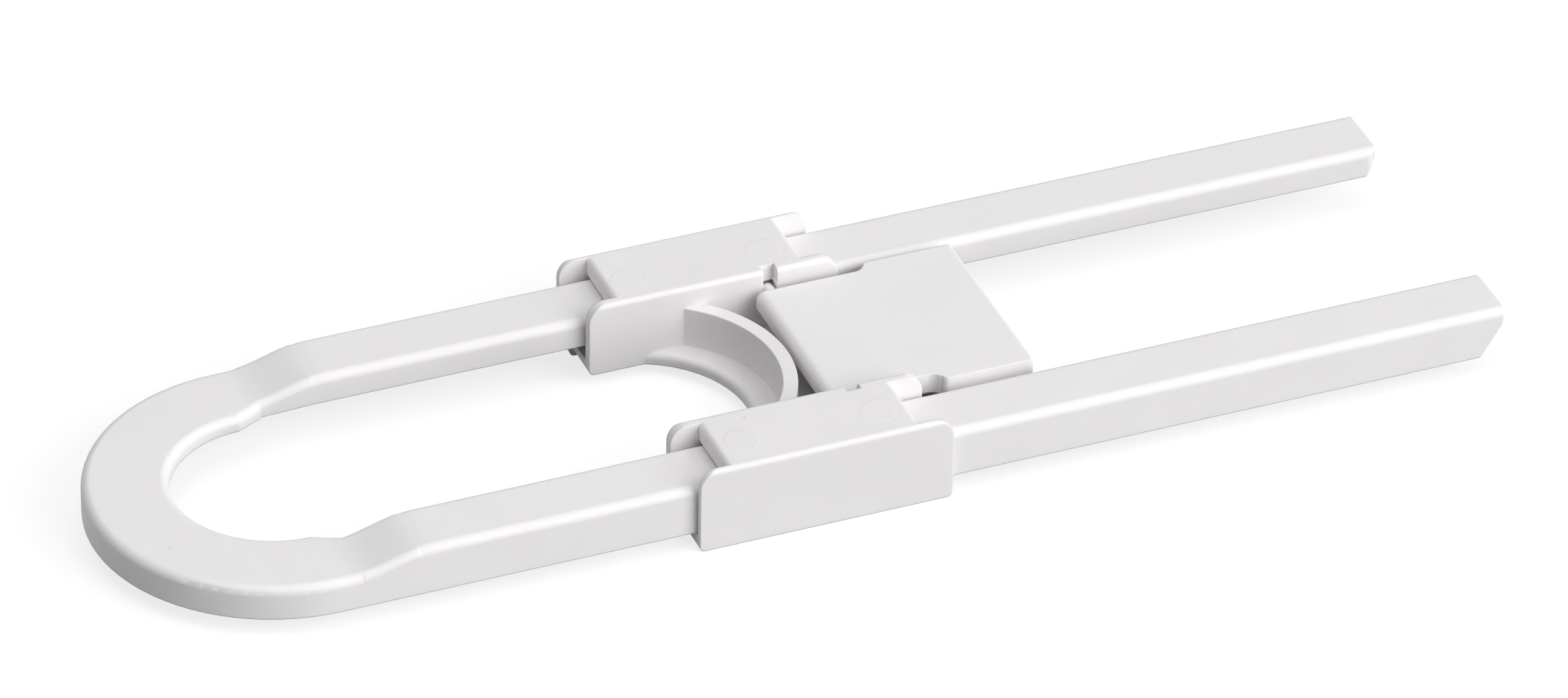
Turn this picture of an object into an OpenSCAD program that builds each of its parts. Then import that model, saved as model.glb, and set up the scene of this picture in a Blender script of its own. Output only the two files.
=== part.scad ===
// Sliding cabinet lock: a U-shaped bow, a slider that rides on its two legs, and a release flap
// whose pawls catch in the racks moulded under the legs. X runs from the loop to the leg tips,
// Y across the legs and Z up. The origin is the middle of the base of the whole lock.

/* [Bow] */
// Length from the loop's round end to the leg tips
bow_l = 200; // [170:1:240]
// Width over both legs, and diameter of the loop's outer edge
bow_w = 53.1; // [50:0.1:64]
// Thickness of the top web everywhere in the bow
web_t = 2.2; // [1.9:0.1:2.6]
// Thickness of the outer skirt below the web
skirt_t = 2.25; // [1.6:0.05:2.6]
// Rounding of the top edges
bow_edge_r = 1.3; // [0.6:0.1:1.5]

/* [Loop] */
// Height of the flat loop
loop_h = 5; // [4.2:0.1:5.6]
// Inner radius of the loop, which goes round the first knob
loop_hole_r = 14.45; // [12:0.05:15]
// Angle at which the loop's inner edge slants out to the leg
shoulder_angle = 26; // [22:1:40]

/* [Legs] */
// Width of one leg
leg_w = 10.05; // [9.4:0.05:11]
// Height of one leg
leg_h = 7.4; // [7:0.1:8]
// Length of the flat stretch between the loop's centre and the foot of the ramp
ramp_start = 3.65; // [3.4:0.05:6]
// Length of the ramp from the loop up to the leg
ramp_l = 8; // [6:0.5:12]
// Thickness of the inner lip that hides the rack
lip_t = 1.6; // [1.2:0.1:2]
// Height of the inner lip, measured down from the leg's top
lip_h = 4.3; // [4:0.1:4.6]
// Height of the blunt nose at the leg's tip
nose_h = 1.9; // [1.4:0.1:2.4]
// How far the slanted underside of the tip runs back
tip_slant = 3.5; // [2:0.1:5]
// Rounding of the tip's outer corner, seen from above
tip_out_r = 0.4; // [0.3:0.1:1.3]
// Rounding of the tip's inner corner, seen from above
tip_in_r = 1.5; // [0.6:0.1:2]

/* [Rack] */
// Tooth pitch of the rack and of the pawls
pitch = 3; // [2.6:0.1:3.6]
// Height of a tooth
tooth_h = 1.3; // [1:0.05:1.5]
// Distance from the loop's end to the first tooth
rack_start = 88.4; // [84:0.1:92]
// Whole teeth between the first tooth and the pawls in the stored position
rest_teeth = 13; // [13:1:16]

/* [Slider] */
// Length of the slider's two sleeves
sleeve_l = 37.4; // [34:0.1:42]
// Thickness of a sleeve's outer wall
outer_wall_t = 0.9; // [0.8:0.05:1.4]
// Thickness of a sleeve's inner wall
inner_wall_t = 1.5; // [1.2:0.05:1.8]
// Thickness of a sleeve's roof
roof_t = 2.7; // [2.2:0.1:3.4]
// How far the walls run past the roof at the loop end
runpast_front = 4.2; // [3:0.1:6]
// How far the walls run past the roof at the tip end
runpast_back = 4.8; // [3:0.1:6]
// Corner radius of the walls, seen from the side
wall_corner_r = 2.7; // [1.5:0.1:3.2]
// Thickness of the floor under the leg's skirt
floor_t = 2.35; // [1.8:0.05:3]
// Height of the step below the raised floor
step_h = 1.65; // [1.2:0.05:2]
// Thickness of the raised floor and of the plate between the sleeves
plate_t = 1.85; // [1.4:0.05:2.1]
// Width of the wall between the raised floor and the skirt's trough
riser_t = 1.65; // [1:0.05:2]
// Rounding of the roof's upper edges at both ends
roof_end_r = 0.8; // [0.3:0.1:1.2]
// Rounding along the sleeves' top edges
sleeve_edge_r = 0.7; // [0.3:0.1:0.8]
// Rounding of the bottom corners, seen from the side
foot_r = 0.8; // [0.4:0.1:1.2]

/* [Arch] */
// Concave radius of the arch wall, which bears on the second knob
arch_in_r = 18.1; // [16:0.05:20]
// Thickness of the arch wall
arch_t = 2.1; // [1.6:0.05:2.5]
// Distance from the slider's loop end to the middle of the arch's concave face
arch_x = 21.8; // [20:0.1:22]
// Height of the arch wall's top above the plate
arch_h = 6.15; // [5:0.05:7]
// Radius of the plate's concave edge
ledge_r = 16.2; // [15.5:0.05:18]
// Width of the ledge in front of the arch wall
ledge_w = 4; // [2:0.1:5]
// Rounding of the ledge's upper edge
ledge_edge_r = 1; // [0.5:0.1:1.4]

/* [Flap] */
// Length of the release flap
flap_l = 30.2; // [28:0.1:33]
// Depth of the flap's rim
flap_h = 3.1; // [2.8:0.05:3.2]
// Thickness of the flap's top
flap_skin_t = 1.9; // [1.4:0.1:2.1]
// Thickness of the rim below the top
rim_t = 1.6; // [1.2:0.1:2]
// Height of the flap's top above the legs
flap_rise = 0.65; // [0.5:0.05:1.1]
// Length of the flap's wide free end
wide_l = 13.6; // [12:0.1:14.4]
// Radius of the hollow corners between the narrow and the wide part
notch_r = 1.7; // [1:0.1:2.2]
// Rounding of the hinge end's upper edge
nose_r = 1.3; // [0.8:0.1:1.4]
// Rounding of the free end's upper edge
tail_r = 0.6; // [0.3:0.1:1]
// Distance from the hinge end to the hinge axis
hinge_inset = 2.55; // [1.8:0.05:2.8]
// Distance from the slider's loop end to the hinge axis
hinge_x = 27.15; // [26.9:0.05:28]
// Radius of the hinge pins
pin_r = 1; // [0.9:0.05:1.2]
// Distance from the free end to the pawls' catching faces
pawl_inset = 5.9; // [4.4:0.1:7.4]
// Thickness of the arms that carry the pawls
arm_t = 1.5; // [1.2:0.05:1.6]
// Length of the arms along the leg
arm_l = 5.6; // [5:0.1:6]

/* [Spring] */
// Wire diameter of the return spring
wire_d = 0.6; // [0.5:0.05:0.7]
// Outer diameter of the return spring
spring_d = 6.6; // [5.6:0.1:7]
// Turns of the return spring
spring_turns = 4; // [3:1:4]
// Distance from the hinge axis to the spring
spring_x = 14.5; // [13:0.1:17]
// Height of the studs that hold the spring's ends
stud_h = 1.1; // [0.8:0.1:1.3]

/* [Fits] */
// Sideways gap between a leg and its sleeve
side_gap = 0.25; // [0.15:0.05:0.35]
// Gap between a leg and the sleeve's floor
floor_gap = 0.25; // [0.15:0.05:0.35]
// Gap between a leg and the sleeve's roof
roof_gap = 0.3; // [0.15:0.05:0.4]
// Gap between the narrow flap and the sleeves' inner walls
flap_gap = 1.25; // [0.8:0.05:1.3]
// Gap between the wide flap and the legs
wide_gap = 1.3; // [0.8:0.05:1.6]
// Radial clearance of the hinge pins
pin_gap = 0.05; // [0.03:0.01:0.08]
// Gap between a pin's end and the leg beside it
pin_end_gap = 0.5; // [0.4:0.05:0.6]
// Gap between a pawl and the tooth it catches on
tooth_gap = 0.15; // [0.1:0.05:0.25]
// Gap between the pawls' arms and the lip above them
arm_gap = 0.3; // [0.2:0.05:0.4]
// Angle to which the flap is pressed before it meets its stop
press_angle = 6; // [5:0.5:6]

/* [Hidden] */

// One overrun serves every cut
over = 1;

// Bow
half_w = bow_w / 2;
leg_in = half_w - leg_w;
bow_z = floor_t + floor_gap;
leg_top = bow_z + leg_h;
loop_cx = half_w;
ramp_x = loop_cx + ramp_start;
leg_x = ramp_x + ramp_l;
ramp_rise = leg_h - loop_h;
ramp_angle = atan2(ramp_rise, ramp_l);
ramp_edge_r = bow_edge_r * 9 / 10;
edge_step = ramp_rise / 100;
lip_low = leg_h - lip_h;
web_low = leg_h - web_t;
flat_low = loop_h - web_t;
crest_z = web_low - tooth_h;
channel_in = leg_in + lip_t;
channel_out = half_w - skirt_t;

// Slider
wall_in = leg_in - side_gap - inner_wall_t;
wall_back = leg_in - side_gap;
wall_out = half_w + side_gap + outer_wall_t;
roof_low = leg_top + roof_gap;
slider_h = roof_low + roof_t;
plate_top = step_h + plate_t;
trough_in = channel_out - side_gap;
step_y = trough_in - riser_t;

// Flap, along the slider
flap_x0 = hinge_x - hinge_inset;
flap_x1 = flap_x0 + flap_l;
flap_top = leg_top + flap_rise;
flap_low = flap_top - flap_h;
skin_low = flap_top - flap_skin_t;
hinge_z = (flap_top + flap_low) / 2;
narrow_y = wall_in - flap_gap;
wide_y = leg_in - wide_gap;
wide_x = flap_x1 - wide_l;
flap_corner_r = rim_t / 2;
pin_end = leg_in - pin_end_gap;
slot_r = pin_r + pin_gap;
nib_r = pin_r / 3;
nib_reach = nib_r / 2;
pocket_x0 = hinge_x + pin_r + rim_t;
pocket_y = narrow_y - rim_t;

// Pawls
pawl_x = flap_x1 - pawl_inset;
tooth_slope = tooth_h / pitch;
arm_top = bow_z + lip_low - arm_gap;
arm_low = arm_top - arm_t;
pawl_top = bow_z + web_low - tooth_gap * (1 + tooth_slope);
pawl_run = (pawl_top - arm_top) / tooth_slope;
pawl_in = channel_in + side_gap;
pawl_out = channel_out - side_gap;

// Tongue under the flap, with the stop that ends the press
tongue_y = pocket_y + rim_t / 5;
stop_t = rim_t;
tongue_x = flap_x1 - rim_t;
press_drop = (tongue_x - hinge_x) * sin(press_angle) + (hinge_z - flap_low) * (1 - cos(press_angle));
stop_top = flap_low - press_drop - tooth_gap;

// Spring between the tongue and the flap
coil_x = hinge_x + spring_x;
coil_r = (spring_d - wire_d) / 2;
stud_r = coil_r - wire_d;
coil_low = plate_top + wire_d / 2;
coil_high = skin_low - wire_d / 2;
coil_steps = 12;
coil_sides = 6;
coil_gap = (coil_high - coil_low) / spring_turns - wire_d;
echo(coil_gap = coil_gap);

// Places along the bow: the slider always rests at a whole tooth
bow_x = -bow_l / 2;
slider_x = bow_x + rack_start + rest_teeth * pitch - tooth_gap - pawl_x;
rack_teeth = floor((bow_l - rack_start) / pitch) + 1;

// Extrudes a Y-Z section along X
module along_x(x0, x1) {
    translate([x0, 0, 0])
        rotate([90, 0, 90])
            linear_extrude(x1 - x0)
                children();
}

// Extrudes an X-Z outline along Y
module along_y(y0, y1) {
    translate([0, y1, 0])
        rotate([90, 0, 0])
            linear_extrude(y1 - y0)
                children();
}

// Rectangle with its two upper corners rounded
module top_rounded(a0, a1, b0, b1, r) {
    translate([a0, b0])
        square([a1 - a0, b1 - b0 - r]);
    translate([a0 + r, b0])
        square([a1 - a0 - 2 * r, b1 - b0]);
    for (a = [a0 + r, a1 - r])
        translate([a, b1 - r])
            circle(r, $fn = 48);
}

// Rectangle with upper corners of one radius and lower corners of another
module panel(a0, a1, b0, b1, r_top, r_low) {
    intersection() {
        top_rounded(a0, a1, b0, b1, r_top);
        translate([0, b0 + b1])
            mirror([0, 1])
                top_rounded(a0, a1, b0, b1, r_low);
    }
}

// Bar along X with the bow's outer outline and rounded top edges
module bar(x0, x1, y0, h, r) {
    along_x(x0, x1)
        top_rounded(y0, half_w, 0, h, r);
}

// Half ring of the loop, centred on the loop's hole
module loop_ring() {
    translate([loop_cx, 0, 0])
        rotate([0, 0, 90])
            rotate_extrude(angle = 180, $fn = 180)
                top_rounded(loop_hole_r, half_w, 0, loop_h, bow_edge_r);
}

// Flat stretch between the loop and the ramp; its inner edge slants out to the leg
module neck() {
    bar(loop_cx, ramp_x + bow_edge_r, leg_in, loop_h, bow_edge_r);
    intersection() {
        bar(loop_cx, ramp_x, loop_hole_r - 2 * bow_edge_r, loop_h, bow_edge_r);
        translate([loop_cx, loop_hole_r + edge_step, 0])
            rotate([0, 0, shoulder_angle])
                along_x(-leg_w, leg_w)
                    top_rounded(0, bow_w, -over, loop_h, bow_edge_r);
    }
}

// Leg with its ramp: a straight bar trimmed by a slanting one, with rounded end corners
module leg_bar() {
    intersection() {
        bar(ramp_x, bow_l, leg_in, leg_h, bow_edge_r);
        translate([ramp_x, 0, loop_h + edge_step])
            rotate([0, -ramp_angle, 0])
                along_x(-bow_w, bow_l)
                    top_rounded(leg_in - edge_step, half_w + edge_step, -bow_l, 0, ramp_edge_r);
        translate([0, 0, -over])
            linear_extrude(leg_h + 2 * over)
                rotate([0, 0, -90])
                    leg_outline();
    }
}

// Leg from above, turned so that its tip points up, with the two corners of the tip rounded
module leg_outline() {
    intersection() {
        top_rounded(-half_w, bow_w, 0, bow_l, tip_out_r);
        top_rounded(-bow_w, -leg_in, 0, bow_l, tip_in_r);
    }
}

// Hollow under the loop's web
module loop_hollow() {
    translate([loop_cx, 0, -over])
        rotate([0, 0, 90])
            rotate_extrude(angle = 180, $fn = 180)
                translate([loop_hole_r / 2, 0])
                    square([channel_out - loop_hole_r / 2, flat_low + over]);
}

// Hollow under the webs of a neck, its ramp and its leg
module leg_hollow() {
    translate([loop_cx, loop_hole_r / 2, -over])
        cube([ramp_start + over, channel_out - loop_hole_r / 2, flat_low + over]);
    along_y(channel_in, channel_out)
        polygon(under_ramp(flat_low, web_low));
    along_y(leg_in - over, channel_in + over)
        polygon(under_ramp(flat_low, lip_low));
}

// Outline of the space below the ramp and the leg, from one ceiling height to the other
function under_ramp(low, high) = [
    [ramp_x, -over],
    [ramp_x, low],
    [leg_x, high],
    [bow_l + over, high],
    [bow_l + over, -over]
];

// Saw teeth that hang from the web; their catching faces look towards the loop
module rack() {
    along_y(channel_in - lip_t / 2, channel_out + skirt_t / 2)
        polygon(concat(
            [[rack_start, web_low + web_t / 2]],
            [for (k = [0 : rack_teeth - 1]) each [
                [rack_start + k * pitch, crest_z],
                [rack_start + (k + 1) * pitch, web_low]
            ]],
            [[rack_start + rack_teeth * pitch, web_low + web_t / 2]]
        ));
}

// Slanted cut under the leg's tip, which also ends the rack
module tip_cut() {
    along_y(0, bow_w)
        polygon([
            [bow_l - tip_slant, 0],
            [bow_l - tip_slant, -over],
            [bow_l + pitch + over, -over],
            [bow_l + pitch + over, leg_h + over],
            [bow_l, leg_h + over],
            [bow_l, leg_h - nose_h]
        ]);
}

// Both mirrored halves of what hangs together with the loop
module both() {
    for (side = [0, 1])
        mirror([0, side, 0])
            children();
}

module bow() {
    color("whitesmoke")
        translate([bow_x, 0, bow_z])
            difference() {
                union() {
                    difference() {
                        union() {
                            loop_ring();
                            both() {
                                neck();
                                leg_bar();
                            }
                        }
                        loop_hollow();
                        both()
                            leg_hollow();
                    }
                    both()
                        rack();
                }
                both()
                    tip_cut();
            }
}

// Section of a sleeve: two walls, a roof and a stepped floor round the leg
module sleeve_section() {
    difference() {
        top_rounded(wall_in, wall_out, 0, slider_h, sleeve_edge_r);
        translate([wall_in - over, -over])
            square([step_y - wall_in + over, step_h + over]);
        translate([wall_back, plate_top])
            square([wall_out - outer_wall_t - wall_back, roof_low - plate_top]);
        translate([trough_in, floor_t])
            square([wall_out - outer_wall_t - trough_in, roof_low - floor_t]);
    }
}

// Gap over the leg where the walls run past the roof, with the roof's end rounded
module open_top(runpast) {
    r = roof_end_r;
    along_y(wall_back, wall_out - outer_wall_t) {
        translate([-over, roof_low - over])
            square([runpast + over, roof_t + 2 * over]);
        translate([runpast + r, slider_h - r])
            difference() {
                translate([-r - over, 0])
                    square([r + over, r + over]);
                circle(r, $fn = 48);
            }
    }
}

module sleeve() {
    difference() {
        intersection() {
            along_x(0, sleeve_l)
                sleeve_section();
            union() {
                along_y(step_y, wall_out)
                    panel(0, sleeve_l, 0, slider_h, wall_corner_r, foot_r);
                along_y(wall_in, step_y)
                    panel(0, sleeve_l, step_h, slider_h, wall_corner_r, foot_r);
            }
        }
        open_top(runpast_front);
        translate([sleeve_l, 0, 0])
            mirror([1, 0, 0])
                open_top(runpast_back);
    }
}

// Slot in the inner wall into which a hinge pin drops, past two small nibs
module pin_slot() {
    difference() {
        along_y(wall_in - over, wall_back) {
            translate([hinge_x, hinge_z])
                circle(slot_r, $fn = 64);
            translate([hinge_x - slot_r, hinge_z])
                square([2 * slot_r, slider_h]);
        }
        for (side = [-1, 1])
            along_y(wall_in, wall_back)
                translate([hinge_x + side * (slot_r + nib_r - nib_reach), hinge_z + slot_r + nib_r])
                    circle(nib_r, $fn = 32);
    }
}

// Plate between the sleeves with its concave edge, and the tongue under the flap
module plate() {
    difference() {
        union() {
            translate([0, -wall_in - side_gap, step_h])
                cube([sleeve_l, 2 * (wall_in + side_gap), plate_t]);
            translate([sleeve_l - over, -tongue_y, step_h])
                cube([tongue_x + over - sleeve_l, 2 * tongue_y, plate_t]);
        }
        translate([arch_x - ledge_w - ledge_r, 0, 0]) {
            translate([0, 0, step_h - over])
                cylinder(r = ledge_r, h = plate_t + 2 * over, $fn = 180);
            ledge_rounding();
        }
    }
}

// Cutter that rounds the upper edge of the concave ledge
module ledge_rounding() {
    translate([0, 0, plate_top - ledge_edge_r])
        rotate_extrude($fn = 180)
            difference() {
                translate([ledge_r - over, 0])
                    square([ledge_edge_r + over, ledge_edge_r + over]);
                translate([ledge_r + ledge_edge_r, 0])
                    circle(ledge_edge_r, $fn = 48);
            }
}

// Curved wall between the sleeves that bears on the second knob
module arch_wall() {
    intersection() {
        translate([arch_x - arch_in_r, 0, step_h + plate_t / 2])
            linear_extrude(plate_t / 2 + arch_h)
                difference() {
                    circle(arch_in_r + arch_t, $fn = 180);
                    circle(arch_in_r, $fn = 180);
                }
        translate([arch_x - arch_in_r, -wall_in - side_gap, 0])
            cube([arch_in_r + arch_t + over, 2 * (wall_in + side_gap), slider_h]);
    }
}

module slider() {
    color("whitesmoke")
        translate([slider_x, 0, 0])
            union() {
                for (side = [0, 1])
                    mirror([0, side, 0])
                        difference() {
                            sleeve();
                            pin_slot();
                        }
                plate();
                arch_wall();
                translate([tongue_x - stop_t, -tongue_y, step_h])
                    cube([stop_t, 2 * tongue_y, stop_top - step_h]);
                translate([coil_x, 0, plate_top - plate_t / 2])
                    cylinder(r = stud_r, h = plate_t / 2 + stud_h, $fn = 48);
            }
}

// Outline of the flap from above: a narrow hinge part and a wide free end
module flap_outline() {
    r = flap_corner_r;
    difference() {
        union() {
            translate([flap_x0, -narrow_y])
                square([flap_l - r, 2 * narrow_y]);
            translate([wide_x + r, -wide_y])
                square([wide_l - 2 * r, 2 * wide_y]);
            translate([wide_x - notch_r, -wide_y + r])
                square([wide_l + notch_r, 2 * (wide_y - r)]);
            for (side = [-1, 1], x = [wide_x + r, flap_x1 - r])
                translate([x, side * (wide_y - r)])
                    circle(r, $fn = 32);
        }
        for (side = [-1, 1])
            translate([wide_x - notch_r, side * (narrow_y + notch_r)])
                circle(notch_r, $fn = 64);
        for (side = [-1, 1])
            translate([wide_x - notch_r - over, side * (narrow_y + wide_y) / 2])
                square([2 * over, wide_y - narrow_y], center = true);
    }
}

// Side view of the flap's block: rounded at the hinge and, less, at the free end
module flap_profile() {
    intersection() {
        panel(flap_x0, flap_x1 + nose_r + over, flap_low, flap_top, nose_r, nose_r / 2);
        top_rounded(flap_x0 - tail_r - over, flap_x1, flap_low - over, flap_top, tail_r);
    }
}

// Arm under the leg with the pawl tooth that rises into the rack
module pawl() {
    translate([pawl_x - arm_l, wide_y - rim_t, arm_low])
        cube([arm_l, rim_t, flap_low + rim_t - arm_low]);
    translate([pawl_x - arm_l, wide_y - rim_t, arm_low])
        cube([arm_l, pawl_out - wide_y + rim_t, arm_t]);
    along_y(pawl_in, pawl_out)
        polygon([
            [pawl_x, arm_top - arm_t / 2],
            [pawl_x, pawl_top],
            [pawl_x - pawl_run, arm_top],
            [pawl_x - pawl_run, arm_top - arm_t / 2]
        ]);
}

module release_flap() {
    color("white")
        translate([slider_x, 0, 0]) {
            difference() {
                intersection() {
                    translate([0, 0, flap_low])
                        linear_extrude(flap_h)
                            flap_outline();
                    along_y(-bow_w, bow_w)
                        flap_profile();
                }
                translate([pocket_x0, -pocket_y, flap_low - over])
                    cube([flap_x1 - rim_t - pocket_x0, 2 * pocket_y, skin_low - flap_low + over]);
            }
            translate([coil_x, 0, skin_low - stud_h])
                cylinder(r = stud_r, h = stud_h + flap_skin_t / 2, $fn = 48);
            for (side = [0, 1])
                mirror([0, side, 0]) {
                    pawl();
                    translate([0, narrow_y - rim_t, 0])
                        rotate([-90, 0, 0])
                            translate([hinge_x, -hinge_z, 0])
                                cylinder(r = pin_r, h = pin_end - narrow_y + rim_t, $fn = 64);
                }
        }
}

// Points of the coil's rings, each ring square to the wire
function coil_ring(turn) =
    let (
        a = 360 * turn,
        z = coil_low + (coil_high - coil_low) * turn / spring_turns,
        lead = (coil_high - coil_low) / spring_turns,
        tilt = atan2(lead, 360 * coil_r / (180 / PI))
    )
    [for (s = [0 : coil_sides - 1])
        let (
            b = 360 * s / coil_sides,
            out = coil_r + wire_d / 2 * cos(b),
            rise = wire_d / 2 * sin(b)
        )
        [
            out * cos(a) + rise * sin(tilt) * sin(a),
            out * sin(a) - rise * sin(tilt) * cos(a),
            z + rise * cos(tilt)
        ]];

// Triangles between ring k and the next
function ring_faces(k) =
    [for (s = [0 : coil_sides - 1])
        let (
            p = k * coil_sides + s,
            q = k * coil_sides + (s + 1) % coil_sides
        )
        each [[p, p + coil_sides, q], [q, p + coil_sides, q + coil_sides]]];

module return_spring() {
    rings = spring_turns * coil_steps;
    points = [for (k = [0 : rings]) each coil_ring(k / coil_steps)];
    first = [for (s = [1 : coil_sides - 2]) [0, s, s + 1]];
    last = [for (s = [1 : coil_sides - 2])
        [rings * coil_sides, rings * coil_sides + s + 1, rings * coil_sides + s]];
    sides = [for (k = [0 : rings - 1]) each ring_faces(k)];
    color("silver")
        translate([slider_x + coil_x, 0, 0])
            polyhedron(points = points, faces = concat(first, sides, last));
}

bow();
slider();
release_flap();
return_spring();
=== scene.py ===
import math

import bmesh
import bpy
from mathutils import Matrix, Vector


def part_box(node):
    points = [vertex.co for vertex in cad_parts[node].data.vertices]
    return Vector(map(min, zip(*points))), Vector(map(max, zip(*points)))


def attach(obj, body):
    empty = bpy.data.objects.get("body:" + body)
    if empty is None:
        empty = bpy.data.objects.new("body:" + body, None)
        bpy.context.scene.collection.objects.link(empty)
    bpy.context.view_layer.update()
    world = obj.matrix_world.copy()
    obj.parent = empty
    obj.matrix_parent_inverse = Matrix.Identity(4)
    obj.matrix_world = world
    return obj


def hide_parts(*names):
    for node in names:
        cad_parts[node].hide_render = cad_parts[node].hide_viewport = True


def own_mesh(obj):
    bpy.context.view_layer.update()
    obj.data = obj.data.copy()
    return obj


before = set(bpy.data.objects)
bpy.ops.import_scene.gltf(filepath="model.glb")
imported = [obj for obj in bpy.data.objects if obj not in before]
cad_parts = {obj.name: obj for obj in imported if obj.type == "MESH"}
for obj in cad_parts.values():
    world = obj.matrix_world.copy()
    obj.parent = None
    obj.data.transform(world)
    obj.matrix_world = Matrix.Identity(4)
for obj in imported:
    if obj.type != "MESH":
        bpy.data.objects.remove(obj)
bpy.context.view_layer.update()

scene = bpy.context.scene
scene.view_settings.view_transform = "Standard"
MM = 0.001

# Camera of the photograph, in the frame of the part
AZIMUTH = math.radians(-22.441)
ELEVATION = math.radians(34.850)
ROLL = math.radians(0.975)
TARGET = Vector((-0.003, 0.0, 0.0056))
DISTANCE = 1.411293
SHIFT_RIGHT = 0.004412
SHIFT_UP = 0.004680
IMAGE_WIDTH = 2500
FOCAL_PIXELS = 16164.0
SENSOR = 36.0
CLIP_NEAR = 0.05
CLIP_FAR = 50.0

# Softboxes: name, place, size and power
LAMPS = [
    ("lamp_top", (0.0, 0.0, 3.4), 3.2, 47.0),
    ("lamp_front_right", (2.0, -2.45, 1.55), 3.2, 139.0),
    ("lamp_left", (-3.15, -0.2, 1.6), 2.4, 12.0),
]
# Level of the surroundings as a light, and as the camera and reflections see them
WORLD_LIGHT = 0.2
WORLD_SEEN = 1.0
LIGHT_WHITE = (1.0, 1.0, 1.0, 1.0)

# Floor: its own grey, and what the camera and reflections see on top of its lit colour
FLOOR_GREY = (0.30, 0.30, 0.30, 1.0)
FLOOR_GLOW = 0.76
FLOOR_HALF = 6.0

# Marks of the ejector pins on the slider's roofs: their centres in mm
RING_PLACES = [(-13.9, 19.8), (6.6, 20.0), (-13.5, -22.0), (6.8, -22.0)]
# Radius of the marks, height of their step and width of its edge
RING_R = 2.6 * MM
RING_STEP = 0.04 * MM
RING_EDGE = 0.18 * MM
# How far below the slider's highest point the marked faces may lie
ROOF_LAYER = 0.5 * MM

# Small specks in the plastic: place and radius in mm, and strength
BOW_SPECKS = [
    ((-92.3, -11.0, 7.6), 0.40, 0.22),
    ((-87.9, 9.4, 7.6), 0.28, 0.12),
    ((-76.0, -23.0, 7.6), 0.22, 0.16),
    ((-47.3, 21.5, 10.0), 0.28, 0.16),
    ((-51.1, -26.5, 9.2), 0.35, 0.12),
    ((49.6, -26.5, 4.4), 0.28, 0.14),
]
SLIDER_SPECKS = [
    ((-11.1, -17.2, 13.0), 0.40, 0.28),
    ((0.5, -21.6, 13.0), 0.32, 0.10),
    ((7.5, -24.0, 13.0), 0.42, 0.12),
    ((-11.5, 19.8, 13.0), 0.28, 0.26),
    ((7.9, 22.1, 13.0), 0.24, 0.22),
    ((7.8, 17.6, 13.0), 0.24, 0.22),
    ((-1.1, -27.7, 7.3), 0.32, 0.12),
]
FLAP_SPECKS = [
    ((24.0, 6.5, 10.6), 0.24, 0.12),
]
# Share of a speck's radius inside which it is darkest
SPECK_CORE_SHARE = 1 / 3

# Colours of the plastic, where it is clean and where the melt flowed, and of specks and grains
BOW_WHITE = (0.830, 0.814, 0.824, 1.0)
BOW_SHADE = (0.812, 0.794, 0.806, 1.0)
SLIDER_WHITE = (0.826, 0.808, 0.816, 1.0)
SLIDER_SHADE = (0.806, 0.788, 0.798, 1.0)
FLAP_WHITE = (0.836, 0.820, 0.834, 1.0)
FLAP_SHADE = (0.820, 0.804, 0.820, 1.0)
SPECK_COLOUR = (0.42, 0.36, 0.33, 1.0)

# Clouds in the colour: their fineness, and where in the noise they start and end
CLOUD_SCALE = 90.0
CLOUD_RANGE = (0.35, 0.7)
# Grains: fineness of the cells that hold them, distances where a grain starts to fade and ends,
# strength, and fineness and lowest level of the patches where they lie
GRAIN_SCALE = 420.0
GRAIN_FADE = (0.05, 0.085)
GRAIN_STRENGTH = 0.25
GRAIN_PATCH_SCALE = 300.0
GRAIN_PATCH_LEVEL = 0.70

# Fine grain of the mould: fineness, sharpness and height
MOULD_SCALE = 1400.0
MOULD_ROUGH = 0.6
MOULD_HEIGHT = 0.003 * MM
# Slow waves where the walls sank: fineness and height
WAVE_SCALE = 60.0
WAVE_HEIGHT = 0.05 * MM

# Range of the noise that gloss and streaks take
NOISE_MIDDLE = (0.3, 0.7)
# Gloss of the plastic: fineness of its patches, their roughness, and how much it mirrors
GLOSS_SCALE = 500.0
GLOSS_ROUGH = (0.40, 0.48)
GLOSS_LEVEL = 0.25
# How strongly the heights show, and radius and samples of the shaded edges
BUMP_STRENGTH = 0.6
EDGE_R = 0.3 * MM
EDGE_SAMPLES = 8

# Light inside the plastic: its share, how red, green and blue spread beside each other, and how far
INNER_SHARE = 0.2
INNER_SPREAD = (1.0, 0.8, 0.7)
INNER_DEPTH = 1.0 * MM

# Top of the bow: heights of the loop and the legs, foot and head of the ramps between them,
# reach of the soft bends there, how deep below the top a bend is fully felt, and where it ends
LOOP_TOP = 7.6 * MM
LEG_TOP = 10.0 * MM
RAMP_FOOT = -69.8 * MM
RAMP_HEAD = -61.8 * MM
BEND_REACH = 2.5 * MM
BEND_STEPS = 10
BEND_DEPTH = 1.1 * MM
BEND_END = 2.1 * MM
# Steps of the solids at the ramp's foot, which the bend takes up: on the top and on the edges
FOOT_STEP = 0.024 * MM
FOOT_EDGE_STEP = 0.12 * MM
# How near two places count as the same, and how near to a cut a vertex lies on it
SAME_PLACE = 0.001 * MM
ON_CUT = 0.0001 * MM
# Angle between two faces from which their edge looks sharp
SHARP_ANGLE = math.radians(30)

# Return spring: radius of its wire, turns, steps in a turn, and roundness of the wire
WIRE_R = 0.3 * MM
COIL_TURNS = 4.0
COIL_STEPS = 48
WIRE_ROUNDNESS = 4
# Its steel: two tones, and fineness and roughness of the streaks
WIRE_LIGHT = (0.62, 0.62, 0.63, 1.0)
WIRE_DARK = (0.50, 0.50, 0.51, 1.0)
STREAK_SCALE = 900.0
STREAK_ROUGH = (0.22, 0.36)


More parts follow.
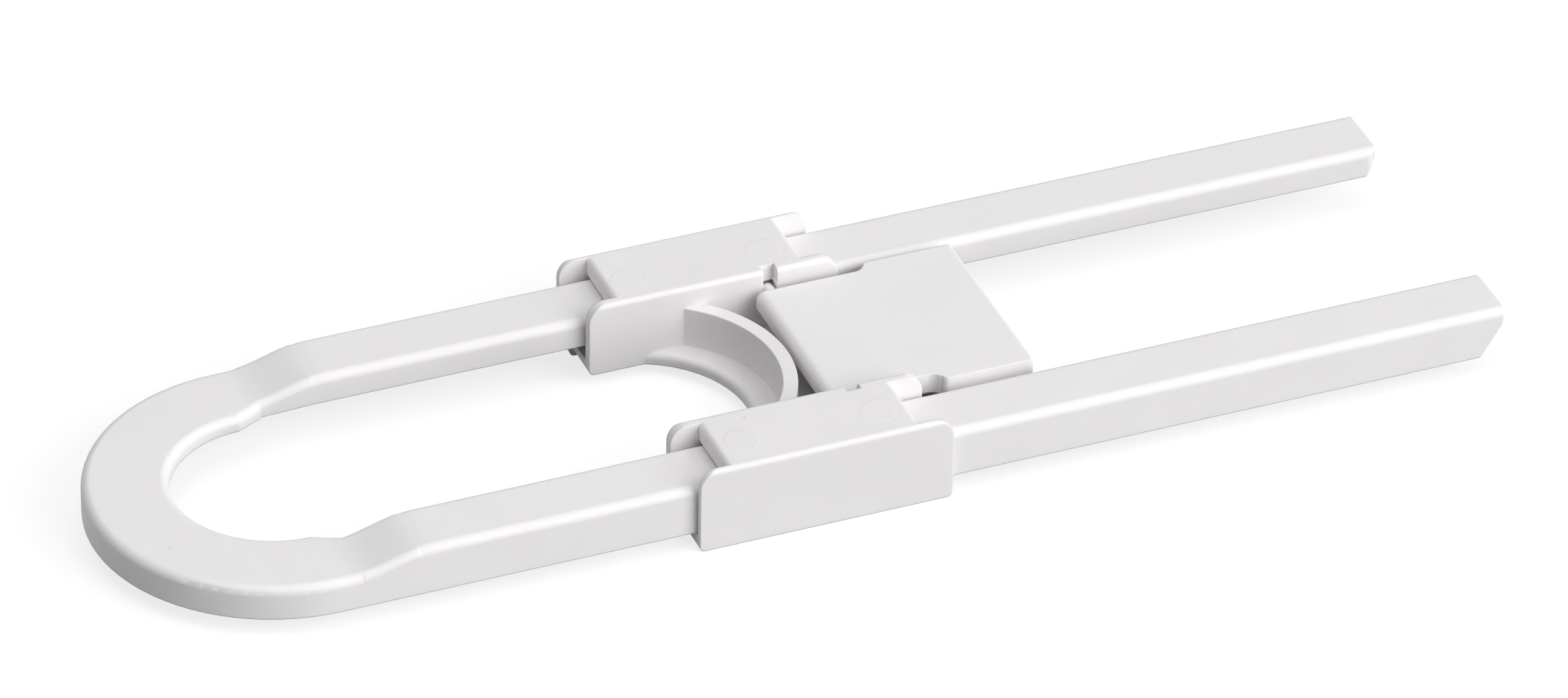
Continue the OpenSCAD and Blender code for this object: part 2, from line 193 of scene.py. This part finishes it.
class Graph:
    """Short forms for building a node tree."""

    def __init__(self, tree):
        self.tree = tree
        self.tree.nodes.clear()

    def node(self, kind, **settings):
        made = self.tree.nodes.new(kind)
        for key, value in settings.items():
            setattr(made, key, value)
        return made

    def link(self, output, socket):
        self.tree.links.new(output, socket)

    def feed(self, socket, value):
        """Links an output to the socket, or gives it a plain value."""
        if isinstance(value, bpy.types.NodeSocket):
            self.link(value, socket)
        else:
            socket.default_value = value

    def math(self, operation, first, second):
        made = self.node("ShaderNodeMath", operation=operation)
        self.feed(made.inputs[0], first)
        self.feed(made.inputs[1], second)
        return made.outputs[0]

    def noise(self, place, scale, detail, rough=0.5):
        made = self.node("ShaderNodeTexNoise")
        made.inputs["Scale"].default_value = scale
        made.inputs["Detail"].default_value = detail
        made.inputs["Roughness"].default_value = rough
        self.link(place, made.inputs["Vector"])
        return made.outputs["Fac"]

    def cells(self, place, scale):
        """Distance to the middle of the nearest of many small cells."""
        made = self.node("ShaderNodeTexVoronoi", feature="F1")
        made.inputs["Scale"].default_value = scale
        self.link(place, made.inputs["Vector"])
        return made.outputs["Distance"]

    def span(self, value, low, high, to_low=0.0, to_high=1.0, kind="LINEAR"):
        """Carries the range from low to high over to another range."""
        made = self.node("ShaderNodeMapRange", interpolation_type=kind)
        made.inputs["From Min"].default_value = low
        made.inputs["From Max"].default_value = high
        made.inputs["To Min"].default_value = to_low
        made.inputs["To Max"].default_value = to_high
        self.link(value, made.inputs["Value"])
        return made.outputs["Result"]

    def mix(self, factor, first, second):
        """From the first colour to the second as the factor goes from 0 to 1."""
        made = self.node("ShaderNodeMix", data_type="RGBA")
        self.link(factor, made.inputs["Factor"])
        self.feed(made.inputs["A"], first)
        self.feed(made.inputs["B"], second)
        return made.outputs["Result"]

    def distance(self, place, point):
        made = self.node("ShaderNodeVectorMath", operation="DISTANCE")
        self.link(place, made.inputs[0])
        made.inputs[1].default_value = point
        return made.outputs["Value"]

    def flat(self, place):
        """The place with no height."""
        made = self.node("ShaderNodeVectorMath", operation="MULTIPLY")
        self.link(place, made.inputs[0])
        made.inputs[1].default_value = (1.0, 1.0, 0.0)
        return made.outputs["Vector"]

    def height(self, place):
        made = self.node("ShaderNodeSeparateXYZ")
        self.link(place, made.inputs[0])
        return made.outputs["Z"]

    def own_place(self):
        """Places in the object's own space."""
        return self.node("ShaderNodeTexCoord").outputs["Object"]

    def seen(self):
        """1 for rays from the camera and for reflected and refracted rays."""
        path = self.node("ShaderNodeLightPath")
        straight = self.math("MAXIMUM", path.outputs["Is Camera Ray"], path.outputs["Is Glossy Ray"])
        return self.math("MAXIMUM", straight, path.outputs["Is Transmission Ray"])


def make_camera():
    level = math.cos(ELEVATION)
    back = Vector((math.sin(AZIMUTH) * level, -math.cos(AZIMUTH) * level, math.sin(ELEVATION)))
    right = Vector((math.cos(AZIMUTH), math.sin(AZIMUTH), 0.0))
    up = back.cross(right)
    side = right * math.cos(ROLL) + up * math.sin(ROLL)
    top = up * math.cos(ROLL) - right * math.sin(ROLL)
    place = TARGET + back * DISTANCE + side * SHIFT_RIGHT + top * SHIFT_UP
    data = bpy.data.cameras.new("camera")
    data.sensor_fit = "HORIZONTAL"
    data.sensor_width = SENSOR
    data.lens = FOCAL_PIXELS / IMAGE_WIDTH * SENSOR
    data.clip_start = CLIP_NEAR
    data.clip_end = CLIP_FAR
    camera = bpy.data.objects.new("camera", data)
    scene.collection.objects.link(camera)
    turn = Matrix((side, top, back)).transposed().to_4x4()
    camera.matrix_world = Matrix.Translation(place) @ turn
    scene.camera = camera


def make_lamps():
    for name, place, size, power in LAMPS:
        data = bpy.data.lights.new(name, "AREA")
        data.shape = "SQUARE"
        data.size = size
        data.energy = power
        lamp = bpy.data.objects.new(name, data)
        scene.collection.objects.link(lamp)
        lamp.location = place
        lamp.rotation_mode = "QUATERNION"
        lamp.rotation_quaternion = Vector(place).to_track_quat("Z", "Y")


def make_world():
    world = bpy.data.worlds.new("studio")
    scene.world = world
    world.use_nodes = True
    graph = Graph(world.node_tree)
    out = graph.node("ShaderNodeOutputWorld")
    sky = graph.node("ShaderNodeBackground")
    sky.inputs["Color"].default_value = LIGHT_WHITE
    level = graph.span(graph.seen(), 0.0, 1.0, WORLD_LIGHT, WORLD_SEEN)
    graph.link(level, sky.inputs["Strength"])
    graph.link(sky.outputs[0], out.inputs["Surface"])


def material_graph(name):
    """A new material with its empty node graph."""
    material = bpy.data.materials.new(name)
    material.use_nodes = True
    return material, Graph(material.node_tree)


def surface(name):
    """A new material with its node graph and its one shader."""
    material, graph = material_graph(name)
    out = graph.node("ShaderNodeOutputMaterial")
    shader = graph.node("ShaderNodeBsdfPrincipled")
    graph.link(shader.outputs[0], out.inputs["Surface"])
    return material, graph, shader


def flow_colour(graph, place, white, shade, specks):
    """Faint clouds from the melt's flow, rare grains and the specks at their places."""
    clouds = graph.span(graph.noise(place, CLOUD_SCALE, detail=3.0), *CLOUD_RANGE)
    grain = graph.span(graph.cells(place, GRAIN_SCALE), *GRAIN_FADE, GRAIN_STRENGTH, 0.0)
    patches = graph.noise(place, GRAIN_PATCH_SCALE, detail=1.0)
    dirt = graph.math("MULTIPLY", grain, graph.math("GREATER_THAN", patches, GRAIN_PATCH_LEVEL))
    for point, radius, strength in specks:
        away = graph.distance(place, tuple(c * MM for c in point))
        core = radius * MM * SPECK_CORE_SHARE
        spot = graph.span(away, core, radius * MM, strength, 0.0, "SMOOTHSTEP")
        dirt = graph.math("MAXIMUM", dirt, spot)
    return graph.mix(dirt, graph.mix(clouds, white, shade), SPECK_COLOUR)


def moulded_height(graph, place):
    """Fine grain of the mould and slow waves where the walls sank, in metres."""
    grain = graph.noise(place, MOULD_SCALE, detail=2.0, rough=MOULD_ROUGH)
    waves = graph.noise(place, WAVE_SCALE, detail=2.0)
    fine = graph.math("MULTIPLY", grain, MOULD_HEIGHT)
    slow = graph.math("MULTIPLY", waves, WAVE_HEIGHT)
    return graph.math("ADD", fine, slow)


def ring_height(graph, place, above):
    """Round shallow steps that the ejector pins left on the faces above a height, in metres."""
    flat = graph.flat(place)
    total = 0.0
    for x, y in RING_PLACES:
        away = graph.distance(flat, (x * MM, y * MM, 0.0))
        disc = graph.span(away, RING_R - RING_EDGE, RING_R, RING_STEP, 0.0, "SMOOTHSTEP")
        total = graph.math("ADD", disc, total)
    marked = graph.math("GREATER_THAN", graph.height(place), above)
    return graph.math("MULTIPLY", total, marked)


def relief(graph, height):
    """Direction of the surface with soft edges and with the heights, in metres, on it."""
    bevel = graph.node("ShaderNodeBevel", samples=EDGE_SAMPLES)
    bevel.inputs["Radius"].default_value = EDGE_R
    bump = graph.node("ShaderNodeBump")
    bump.inputs["Strength"].default_value = BUMP_STRENGTH
    bump.inputs["Distance"].default_value = 1.0
    graph.link(height, bump.inputs["Height"])
    graph.link(bevel.outputs["Normal"], bump.inputs["Normal"])
    return bump.outputs["Normal"]


def plastic(name, white, shade, specks, rings_above=None):
    """Moulded white plastic with a soft gloss."""
    material, graph, shader = surface(name)
    place = graph.own_place()
    graph.link(flow_colour(graph, place, white, shade, specks), shader.inputs["Base Color"])
    patches = graph.noise(place, GLOSS_SCALE, detail=2.0)
    graph.link(graph.span(patches, *NOISE_MIDDLE, *GLOSS_ROUGH), shader.inputs["Roughness"])
    shader.inputs["Specular IOR Level"].default_value = GLOSS_LEVEL
    shader.inputs["Subsurface Weight"].default_value = INNER_SHARE
    shader.inputs["Subsurface Radius"].default_value = INNER_SPREAD
    shader.inputs["Subsurface Scale"].default_value = INNER_DEPTH
    height = moulded_height(graph, place)
    if rings_above is not None:
        height = graph.math("ADD", height, ring_height(graph, place, rings_above))
    graph.link(relief(graph, height), shader.inputs["Normal"])
    return material


def steel(name):
    """Drawn spring wire."""
    material, graph, shader = surface(name)
    streaks = graph.noise(graph.own_place(), STREAK_SCALE, detail=3.0)
    tone = graph.mix(graph.span(streaks, *NOISE_MIDDLE), WIRE_LIGHT, WIRE_DARK)
    graph.link(tone, shader.inputs["Base Color"])
    graph.link(graph.span(streaks, *NOISE_MIDDLE, *STREAK_ROUGH), shader.inputs["Roughness"])
    shader.inputs["Metallic"].default_value = 1.0
    return material


def floor_material():
    """Pale floor: white to the camera and in reflections, with the object's shadow kept."""
    material, graph = material_graph("floor_pale")
    out = graph.node("ShaderNodeOutputMaterial")
    diffuse = graph.node("ShaderNodeBsdfDiffuse")
    diffuse.inputs["Color"].default_value = FLOOR_GREY
    glow = graph.node("ShaderNodeEmission")
    glow.inputs["Color"].default_value = LIGHT_WHITE
    graph.link(graph.math("MULTIPLY", graph.seen(), FLOOR_GLOW), glow.inputs["Strength"])
    both = graph.node("ShaderNodeAddShader")
    graph.link(diffuse.outputs[0], both.inputs[0])
    graph.link(glow.outputs[0], both.inputs[1])
    graph.link(both.outputs[0], out.inputs["Surface"])
    return material


def make_floor():
    mesh = bpy.data.meshes.new("floor")
    signs = ((-1, -1), (1, -1), (1, 1), (-1, 1))
    corners = [(x * FLOOR_HALF, y * FLOOR_HALF, 0.0) for x, y in signs]
    mesh.from_pydata(corners, [], [(0, 1, 2, 3)])
    floor = bpy.data.objects.new("floor", mesh)
    scene.collection.objects.link(floor)
    mesh.materials.append(floor_material())


def paint(node, material):
    """Gives its material to a piece that keeps its solid's shape."""
    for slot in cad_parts[node].material_slots:
        slot.material = material


def finished_mesh(name, data, even_normals=False):
    """Mesh that a curve makes, or a mesh with its shading evened out between its sharp edges."""
    helper = bpy.data.objects.new(name, data)
    scene.collection.objects.link(helper)
    if even_normals:
        helper.modifiers.new("even_normals", "WEIGHTED_NORMAL").keep_sharp = True
    bpy.context.view_layer.update()
    depsgraph = bpy.context.evaluated_depsgraph_get()
    mesh = bpy.data.meshes.new_from_object(helper.evaluated_get(depsgraph))
    bpy.data.objects.remove(helper)
    return mesh


def dressed(name, mesh, material):
    """A new object with the mesh in one material."""
    mesh.name = name
    mesh.materials.clear()
    mesh.materials.append(material)
    made = bpy.data.objects.new(name, mesh)
    scene.collection.objects.link(made)
    return made


def top_height(x):
    """Height of the bow's top in the solids."""
    share = (x - RAMP_FOOT) / (RAMP_HEAD - RAMP_FOOT)
    return LOOP_TOP + (LEG_TOP - LOOP_TOP) * min(max(share, 0.0), 1.0)


def bend_lift(x):
    """How far the top moves so that the creases at a ramp's foot and head turn into bends."""
    slope = (LEG_TOP - LOOP_TOP) / (RAMP_HEAD - RAMP_FOOT)
    foot = max(BEND_REACH - abs(x - RAMP_FOOT), 0.0)
    head = max(BEND_REACH - abs(x - RAMP_HEAD), 0.0)
    return slope * (foot**2 - head**2) / (4 * BEND_REACH)


def ramp_step(vertex):
    """How far a vertex of a ramp stands above the straight line from the loop's top to the leg's."""
    x = vertex.co.x
    if x > RAMP_HEAD or x < RAMP_FOOT - SAME_PLACE:
        return 0.0
    furthest = max(corner.co.x for face in vertex.link_faces for corner in face.verts)
    on_wall = furthest < RAMP_FOOT + SAME_PLACE
    if on_wall and vertex.co.z < LOOP_TOP + SAME_PLACE:
        return 0.0
    return FOOT_STEP * (RAMP_HEAD - x) / (RAMP_HEAD - RAMP_FOOT)


def in_bends(place):
    """Whether a place lies on the bow's top or its rounded edges, at a ramp or just beside it."""
    along = RAMP_FOOT - BEND_REACH < place.x < RAMP_HEAD + BEND_REACH
    return along and place.z > top_height(place.x) - BEND_DEPTH


def bend_ramps(work):
    """Cuts the bow across at each crease of the ramps and lays the cuts along a soft bend."""
    for crease in (RAMP_FOOT, RAMP_HEAD):
        for step in range(-BEND_STEPS, BEND_STEPS + 1):
            cut = (crease + BEND_REACH * step / BEND_STEPS, 0.0, 0.0)
            parts = work.verts[:] + work.edges[:] + work.faces[:]
            bmesh.ops.bisect_plane(work, geom=parts, dist=ON_CUT, plane_co=cut, plane_no=(1, 0, 0))
    for vertex in work.verts:
        x, z = vertex.co.x, vertex.co.z
        share = (BEND_END - top_height(x) + z) / (BEND_END - BEND_DEPTH)
        vertex.co.z += (bend_lift(x) - ramp_step(vertex)) * min(max(share, 0.0), 1.0)
    foot = [v for v in work.verts if abs(v.co.x - RAMP_FOOT) < SAME_PLACE and in_bends(v.co)]
    bmesh.ops.remove_doubles(work, verts=foot, dist=FOOT_EDGE_STEP)


def bent_bow():
    """Mesh of the bow with the bends in it, smooth but for its sharp edges."""
    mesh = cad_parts["bow"].data.copy()
    mesh.attributes.remove(mesh.attributes["custom_normal"])
    work = bmesh.new()
    work.from_mesh(mesh)
    bend_ramps(work)
    bmesh.ops.remove_doubles(work, verts=work.verts, dist=SAME_PLACE)
    for face in work.faces:
        face.smooth = True
    for edge in work.edges:
        bent = all(in_bends(end.co) for end in edge.verts)
        edge.smooth = bent or edge.calc_face_angle(0.0) < SHARP_ANGLE
    work.to_mesh(mesh)
    work.free()
    return mesh


def make_bow_skin(material):
    """The bow with soft bends instead of creases at the ends of its ramps."""
    shaded = finished_mesh("bow_bends", bent_bow(), even_normals=True)
    skin = dressed("bow_skin", shaded, material)
    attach(skin, "bow")
    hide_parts("bow")


def wound_wire(middle, coil_r, bottom, top):
    """Mesh of a smooth round wire wound about the upright line through the middle."""
    curve = bpy.data.curves.new("coil", "CURVE")
    curve.dimensions = "3D"
    curve.bevel_depth = WIRE_R
    curve.bevel_resolution = WIRE_ROUNDNESS
    curve.use_fill_caps = True
    spline = curve.splines.new("POLY")
    steps = int(COIL_TURNS * COIL_STEPS)
    spline.points.add(steps)
    for i, point in enumerate(spline.points):
        angle = 2 * math.pi * COIL_TURNS * i / steps
        x = middle.x + coil_r * math.cos(angle)
        y = middle.y + coil_r * math.sin(angle)
        point.co = (x, y, bottom + (top - bottom) * i / steps, 1.0)
    mesh = finished_mesh("coil_path", curve)
    for face in mesh.polygons:
        face.use_smooth = True
    return mesh


def make_coil():
    """The return spring as a smooth round wire, carried by the slider."""
    low, high = (Vector(corner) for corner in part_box("return_spring"))
    middle = (low + high) / 2
    coil_r = (high.x - low.x) / 2 - WIRE_R
    wire = wound_wire(middle, coil_r, low.z + WIRE_R, high.z - WIRE_R)
    coil = dressed("return_coil", wire, steel("spring_wire"))
    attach(coil, "slider")
    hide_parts("return_spring")
    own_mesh(coil)


make_camera()
make_lamps()
make_world()
make_floor()
roof_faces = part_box("slider")[1][2] - ROOF_LAYER
make_bow_skin(plastic("plastic_bow", BOW_WHITE, BOW_SHADE, BOW_SPECKS))
paint("slider", plastic("plastic_slider", SLIDER_WHITE, SLIDER_SHADE, SLIDER_SPECKS, roof_faces))
paint("release_flap", plastic("plastic_flap", FLAP_WHITE, FLAP_SHADE, FLAP_SPECKS))
make_coil()
